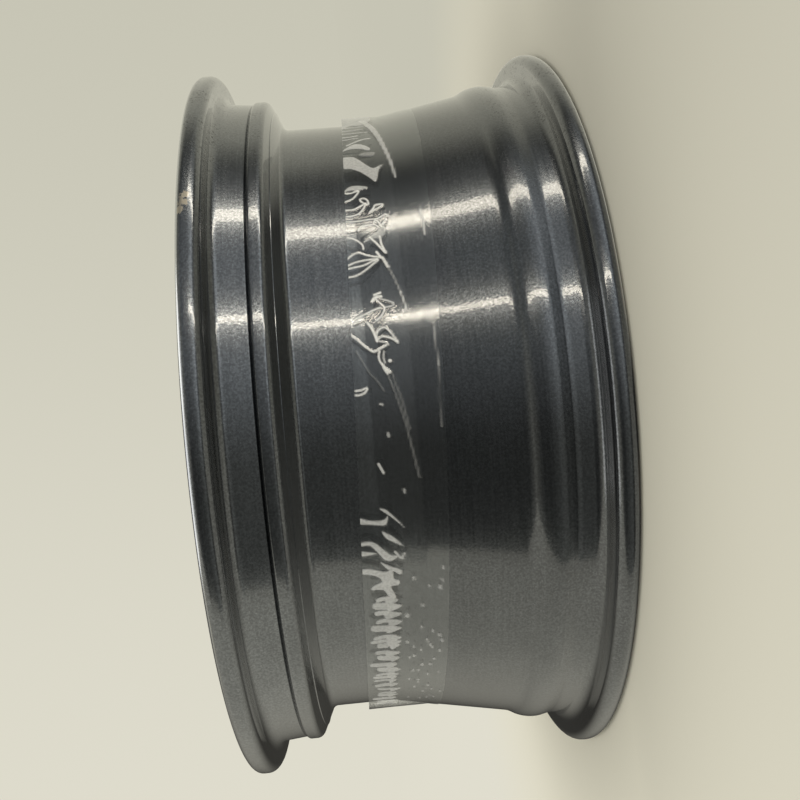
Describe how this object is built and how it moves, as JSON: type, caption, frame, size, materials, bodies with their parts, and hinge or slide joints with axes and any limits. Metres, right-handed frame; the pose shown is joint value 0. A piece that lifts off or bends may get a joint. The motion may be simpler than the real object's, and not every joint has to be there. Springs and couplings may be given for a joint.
{
  "type": "car wheel",
  "caption": "Cast light-alloy car wheel with paired spokes, a drop-well barrel between turned flanges, and a band of clear tape wound round the barrel.",
  "frame": {"origin": "centre of the hub face, where the wheel meets the car's hub", "axes": "+Z along the axle towards the front of the wheel, +Y towards the valve hole"},
  "size_m": [0.4716, 0.4716, 0.2135],
  "materials": {
    "gunmetal_coat": "gloss",
    "clear_film": "clear"
  },
  "bodies": {
    "root": {"wheel": "gunmetal_coat", "clear_tape": "clear_film"}
  },
  "joints": []
}
